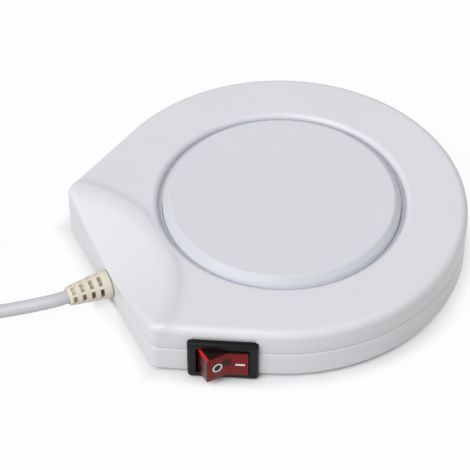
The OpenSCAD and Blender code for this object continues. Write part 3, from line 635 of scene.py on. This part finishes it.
# Painted shade on the slope, and below it painted light on the upright rim.
coat = plate_finish.mixed(height.step(19.25, 19.45), slope_painted_shade, coat)
plate_finish.shade("Base Color", plate_finish.mixed(height.step(17.4, 18.1), rim_painted_light, coat))
plate_finish.shade("Roughness", 0.24 + 0.08 * clouds)
plate_finish.bump(orange_peel, 0.000006)


def lathe(bm, profile, steps):
    """Turns a profile of (radius, height) full circle about Z."""
    line = [bm.verts.new((radius, 0, height)) for radius, height in profile]
    parts = line + [bm.edges.new(pair) for pair in zip(line, line[1:])]
    bmesh.ops.spin(bm, geom=parts, cent=(0, 0, 0), axis=(0, 0, 1), angle=2 * math.pi, steps=steps,
                   use_merge=True)
    bmesh.ops.remove_doubles(bm, verts=bm.verts, dist=0.0005)
    bmesh.ops.recalc_face_normals(bm, faces=bm.faces)


plate_z = 19.5
pan_r = 36.9
flange_r, flange_top, flange_low = 40.2, 13.4, 12.2
pan_in_r, pan_under = 35.3, 18
stud_r, stud_end = 2, 7
top = [(0, plate_z), (20, plate_z), (34.3, plate_z), (34.6, plate_z)]
slope = [(34.9, 19.44), (35.15, 19.28), (36.65, 18.05), (36.82, 17.85)]
rim = [(pan_r, 17.6), (pan_r, 15), (pan_r, flange_top)]
flange = [(flange_r, flange_top), (flange_r, flange_low), (pan_in_r, flange_low)]
below = [(pan_in_r, pan_under), (stud_r, pan_under), (stud_r, stud_end), (0, stud_end)]
bm = bmesh.new()
lathe(bm, top + slope + rim + flange + below, 200)
plate = link_piece("plate", bm, plate_finish)
finished(plate, "base", "plate", "heater_plate")


# ---- Heater stack, thermostat, fuse and leads -----------------------------
# Everything under the plate keeps its solid. It gets the finish of the real
# stuff: mica, zinc-plated steel, woven glass sleeve and coloured insulation.
def metal(name, colour, roughness, scratch):
    """Rolled or plated metal with fine marks drawn out along one way."""
    finish = Finish(name, Metallic=1.0)
    marks = finish.noise(finish.place(stretch=scratch), 900, 3)
    clouds = finish.noise(finish.place(), 120)
    finish.shade("Base Color", finish.mixed(clouds, toned(colour, 0.86), toned(colour, 1.08)))
    finish.shade("Roughness", roughness - 0.08 + 0.2 * marks)
    finish.bump(marks, 0.000015)
    return finish


def lead(name, colour):
    return plastic("lead_" + name, colour, 0.45, 0.04, 1500)


def dress(finish, names):
    """Hangs a finish on solids that stay as they are."""
    for name in names.split():
        slots = nodes[name].material_slots
        for slot in slots:
            slot.material = finish.material
        if not slots:
            nodes[name].data.materials.append(finish.material)


steel = metal("zinc_plate", (0.62, 0.62, 0.64), 0.34, (1, 8, 1))
dress(steel, "heater_ribbon clamp_plate clamp_washer clamp_nut clamp_screws plate_screws cover_screws")
dress(steel, "thermostat thermal_fuse detent_spring spade_terminals")
dress(metal("brass", (0.72, 0.5, 0.24), 0.3, (8, 1, 1)), "detent_plunger contact_arm switch_blades")
dress(plastic("mica", (0.56, 0.47, 0.33), 0.55, 0.2, 700, 0.00003), "mica_upper heater_card mica_lower")
dress(plastic("silicone", (0.5, 0.12, 0.06), 0.6, 0.04, 1500, 0.00002), "plate_seal")
dress(plastic("glass_sleeve", (0.72, 0.69, 0.6), 0.8, 0.06, 1100, 0.0001), "fuse_sleeve")
dress(plastic("crimp_cap", (0.72, 0.69, 0.58), 0.5, 0.03), "crimp_cap cord_clamp")
dress(cord_finish, "cord_inside")
dress(lead("brown", (0.16, 0.065, 0.03)), "live_lead")
dress(lead("blue", (0.035, 0.11, 0.4)), "neutral_core neutral_lead")
dress(lead("black", (0.02, 0.02, 0.02)), "switched_lead lamp_lead")
dress(lead("white", (0.66, 0.66, 0.64)), "fuse_lead heater_lead")

# ---- Switch housing -------------------------------------------------------
# Snap-in mini rocker switch in black nylon. The bezel has a bevelled edge and
# rounded corners, and the box behind it holds the rocker's chamber.
black = plastic("black_nylon", (0.007, 0.0072, 0.0065), 0.34, 0.08, 1800, Specular_IOR_Level=0.16)


def rolled(bm, edges, radius, segments=3):
    bmesh.ops.bevel(bm, geom=edges, offset=radius, offset_type="OFFSET", segments=segments, profile=0.5,
                    affect="EDGES", material=-1)


def facing(bm, depth):
    """The faces that lie at one depth, across the switch's Y."""
    return [f for f in bm.faces if all(abs(v.co.y - depth) < 0.01 for v in f.verts)]


def by_area(face):
    return face.calc_area()


def pushed(bm, face, depth):
    """Draws a face back along Y and leaves its end open."""
    made = bmesh.ops.extrude_face_region(bm, geom=[face])["geom"]
    bmesh.ops.translate(bm, vec=(0, depth, 0), verts=[v for v in made if isinstance(v, bmesh.types.BMVert)])
    bmesh.ops.delete(bm, geom=[face], context="FACES_ONLY")


bezel_l = 21
bezel_h = 14.4
bezel_front = 2.6
bezel_corner_r = 1.3
bezel_edge = 1.0
frame_w = 1.42
chamber_half_l, chamber_half_h, chamber_deep = 7.9, 4.95, 11
chamber_square = 1.1
body_inset, body_deep = 1.2, 12.5
bm = bmesh.new()
box(bm, (-bezel_l / 2, -bezel_front, -bezel_h / 2), (bezel_l / 2, -switch_in, bezel_h / 2))
corners = [e for e in bm.edges if abs(e.verts[0].co.y - e.verts[1].co.y) > 1]
rolled(bm, corners, bezel_corner_r, 6)
rolled(bm, list(facing(bm, -bezel_front)[0].edges), bezel_edge)
face = max(facing(bm, -bezel_front), key=by_area)
bmesh.ops.inset_region(bm, faces=[face], thickness=frame_w, use_even_offset=True)
inner = [f for f in facing(bm, -bezel_front) if len(f.verts) > 4]
face = min(inner, key=lambda f: f.calc_center_median().length)
for vert in face.verts:
    vert.co.x = min(chamber_half_l, max(-chamber_half_l, vert.co.x * chamber_square))
    vert.co.z = min(chamber_half_h, max(-chamber_half_h, vert.co.z * chamber_square))
pushed(bm, face, chamber_deep)
face = max(facing(bm, -switch_in), key=by_area)
bmesh.ops.inset_region(bm, faces=[face], thickness=body_inset, use_even_offset=True)
face = max((f for f in facing(bm, -switch_in) if len(f.verts) > 4), key=by_area)
pushed(bm, face, body_deep + switch_in)
bmesh.ops.recalc_face_normals(bm, faces=bm.faces)
bmesh.ops.transform(bm, matrix=switch_frame, verts=bm.verts)
housing = link_piece("switch_bezel", bm, black, 30)
finished(housing, "base", "switch_body", "switch_housing")

# ---- Rocker ---------------------------------------------------------------
# Translucent red polycarbonate with fine upright ribs behind its two faces. It
# pivots on two short pins and is turned to "on". The neon lamp behind it shows
# as a dark spot. The rocker's raised edge is painted its brightest red, a
# painted highlight, and its top side is painted near black, a painted shade.
# Its end is painted deep red towards the chamber, painted shade, and brown
# farther out.
travel = math.radians(34)
pivot_in = 0.6
pivot = Matrix.Translation((0, pivot_in, 0)) @ Matrix.Rotation(travel / 2, 4, "Z")
rocker_frame = switch_frame @ pivot @ Matrix.Scale(-1, 4, (0, 1, 0))
face_tilt = math.radians(16)
ridge_x, ridge_out = 6.18, 5.85
skirt_r = 7.64
face_round = 4
vee_h = ridge_out - ridge_x * math.tan(face_tilt)
vee_mid = vee_h + face_round / math.cos(face_tilt)
half_h = 4.75
rocker_edge = 0.28
pin_r, pin_l = 1.1, 0.9
bends = [face_tilt * step / 4 for step in range(-4, 5)]
fold = [(face_round * math.sin(bend), vee_mid - face_round * math.cos(bend)) for bend in bends]
turns = [math.radians(degrees) for degrees in (9.5, 4, -2, -8, -14, -20, -25)]
end = [(ridge_x, ridge_out)] + [(skirt_r * math.cos(turn), skirt_r * math.sin(turn)) for turn in turns]
section = fold + end + [(-x, y) for x, y in reversed(end)]
bm = bmesh.new()
verts = [bm.verts.new((x, y, -half_h)) for x, y in section]
first = bmesh.ops.contextual_create(bm, geom=verts)["faces"]
grown = bmesh.ops.extrude_face_region(bm, geom=first)["geom"]
grown = [part for part in grown if isinstance(part, bmesh.types.BMVert)]
bmesh.ops.translate(bm, vec=(0, 0, 2 * half_h), verts=grown)
bmesh.ops.recalc_face_normals(bm, faces=bm.faces)
rolled(bm, [e for e in bm.edges if e.calc_face_angle(0) > 0.5], rocker_edge)
for pin_start in (-5.4, 4.5):
    rod(bm, pin_r, (0, 0, pin_start), pin_l, segments=24)
bmesh.ops.recalc_face_normals(bm, faces=bm.faces)
bmesh.ops.transform(bm, matrix=rocker_frame, verts=bm.verts)
bmesh.ops.reverse_faces(bm, faces=bm.faces)

rib_red, gap_red, cloud_red = (0.27, 0.012, 0.010), (0.135, 0.006, 0.006), (0.16, 0.008, 0.008)
painted_highlight_red = (0.55, 0.012, 0.02)
rib_pitch = 0.82
end_out = (0.959, 0.283)
red = Finish("red_polycarbonate", Specular_IOR_Level=0.16)
x, y, z = red.axes(switch_frame @ Vector((0, pivot_in, 0)), math.pi / 2 - side + travel / 2)
clouds = red.noise(red.place(), 300)
ribs = (x * (2 * math.pi / rib_pitch)).maths("SINE").step(-0.4, 0.9)


def spot(mid_x, mid_z, wide, high, soft):
    """1 inside an oval on the rocker's face and 0 outside it."""
    return far((x - mid_x) / wide, (z - mid_z) / high).fall(1 - soft, 1)


face_red = red.mixed(ribs, gap_red, rib_red)
face_red = red.mixed(clouds * 0.4, face_red, cloud_red)
over_lamp = spot(0.1, 1.0, 2.5, 2.0, 0.6)
in_ring = spot(-2.9, 0, 1.85, 1.85, 0.15)
face_red = red.mixed(over_lamp * 0.92, face_red, (0.024, 0.008, 0.006))
face_red = red.mixed(in_ring * 0.92, face_red, (0.016, 0.003, 0.003))
# Painted shade on the rocker's top side, with a painted highlight along its raised edge.
from_end = (x + ridge_x) * end_out[0] + (y + ridge_out) * end_out[1]
top_shade_and_highlight = red.mixed(from_end.fall(0.6, 0.8), (0.012, 0.004, 0.004), painted_highlight_red)
face_red = red.mixed(z.step(half_h - 0.35, half_h - 0.15), face_red, top_shade_and_highlight)
# Painted shade: the end is deep red towards the chamber and brown farther out, with the painted highlight
# at its top edge.
end_shade_and_highlight = red.mixed((-y).step(4, 5), (0.06, 0.004, 0.005), (0.075, 0.055, 0.04))
end_shade_and_highlight = red.mixed(z.step(half_h - 0.6, half_h - 0.4), end_shade_and_highlight, painted_highlight_red)
red.shade("Base Color", red.mixed(from_end.fall(0.05, 0.2), face_red, end_shade_and_highlight))
red.shade("Roughness", 0.22 + 0.1 * clouds)
red.bump(ribs, 0.00002)
rocker = link_piece("rocker", bm, red, 30)
finished(rocker, "rocker", "rocker", "switch_rocker")

# ---- Marks on the rocker and the lamp behind it ---------------------------
# The marks are a ring and a bar, printed in white ink on the two faces. The
# lamp is a small neon bulb in its glass.
dress(plastic("white_ink", (0.82, 0.81, 0.79), 0.5, 0.03), "rocker_marks")
dress(plastic("neon_glass", (0.6, 0.35, 0.2), 0.1, 0.1, 400, Transmission_Weight=0.8), "switch_lamp")

# ---- Strain relief --------------------------------------------------------
# Soft cream PVC moulded round the cord: a collar against the wall and a cone
# with four rings of short slots, so that it bends evenly. Neck, catch and
# tail hold it in the wall. The slots are painted in shade, darker low down and
# paler on top, and the relief is painted dark where it meets the wall: both
# are painted shade.
relief_l = 13.5
collar_t = 1.2
relief_r1, relief_r2 = 4.5, 2.95
taper = (relief_r1 - relief_r2) / (relief_l - collar_t)
core_r = 2.45
slot_w = 1.25
slot_at, slot_apart, slot_half_turn = -82, 60, 23
slot_rows = [3.45 + 2.8 * row for row in range(4)]

cream_light = (0.72, 0.665, 0.55)
slot_painted_light, slot_painted_shade = (0.66, 0.62, 0.5), (0.33, 0.27, 0.16)
cream = Finish("cream_pvc", IOR=1.5)
x, y, z = cream.axes((-rear_reach, 0, cord_z))
clouds = cream.noise(cream.place(), 260)
sunk = (relief_r1 + (x + collar_t) * taper - far(y, z)).step(0.15, 0.9)
# Painted shade where the relief meets the wall.
wall_shade = (x + 0.5).step(0, 0.3) * 0.75
skin = cream.mixed(clouds, toned(cream_light, 0.96), toned(cream_light, 1.03))
skin = cream.mixed(wall_shade, skin, (0.2, 0.15, 0.11))
# Painted shade in the slots: dark in the lower ones, paler in the upper ones.
pits = cream.mixed(z.step(1.2, 2.6), slot_painted_shade, slot_painted_light)
cream.shade("Base Color", cream.mixed(sunk, skin, pits))
cream.shade("Roughness", 0.45 + 0.1 * clouds)
cream.bump(cream.noise(cream.place(), 1500, 1), 0.000015)


def cone_at(height):
    return relief_r1 - (height - collar_t) * taper, height


inside = [(0, -8.5), (2.5, -8.5), (2.7, -8.3), (2.7, -3.9), (3.5, -3.9), (3.5, -2.1), (2.8, -2.1), (2.8, 0)]
collar = [(4.2, 0), (4.42, 0.08), (relief_r1, 0.3), (relief_r1, 1.0), cone_at(collar_t + 0.25)]
cone = [cone_at(middle + edge) for middle in slot_rows for edge in (-slot_w / 2, slot_w / 2)]
tip = [cone_at(13.2), (2.82, 13.4), (2.6, relief_l), (0, relief_l)]
bm = bmesh.new()
lathe(bm, inside + collar + cone + tip, 120)
slots = []
for f in bm.faces:
    mid = f.calc_center_median()
    row = any(abs(mid.z - middle) < slot_w / 2 - 0.05 for middle in slot_rows)
    turn = math.degrees(math.atan2(mid.y, mid.x)) - slot_at
    turn = (turn + slot_apart / 2) % slot_apart - slot_apart / 2
    if row and mid.xy.length > 2.5 and abs(turn) < slot_half_turn:
        slots.append(f)
sunken = bmesh.ops.extrude_face_region(bm, geom=slots)["geom"]
bmesh.ops.delete(bm, geom=slots, context="FACES_ONLY")
for vert in sunken:
    if isinstance(vert, bmesh.types.BMVert):
        vert.co.x, vert.co.y = vert.co.xy.normalized() * core_r
bmesh.ops.recalc_face_normals(bm, faces=bm.faces)
bmesh.ops.transform(bm, matrix=along_cord, verts=bm.verts)
relief = link_piece("relief", bm, cream)
finished(relief, "base", "relief", "strain_relief")

# ---- Plug -----------------------------------------------------------------
# Flat two-pin plug moulded onto the cord in pale grey plastic, with nickelled
# round pins that are sleeved in black for half their length.
dress(plastic("plug_moulding", (0.62, 0.62, 0.64), 0.42, 0.02, 2000, 0.000015), "plug_body")
dress(plastic("pin_sleeve", (0.03, 0.03, 0.03), 0.45), "pin_sleeves")
dress(metal("nickel", (0.68, 0.67, 0.64), 0.22, (1, 1, 6)), "plug_pins")

# ---- Feet -----------------------------------------------------------------
# Four pads punched from dark rubber sheet. Each one is glued into its seat in
# the lower cover.
dress(plastic("foot_rubber", (0.045, 0.045, 0.05), 0.75, 0.1, 1600, 0.00003), "rubber_feet")
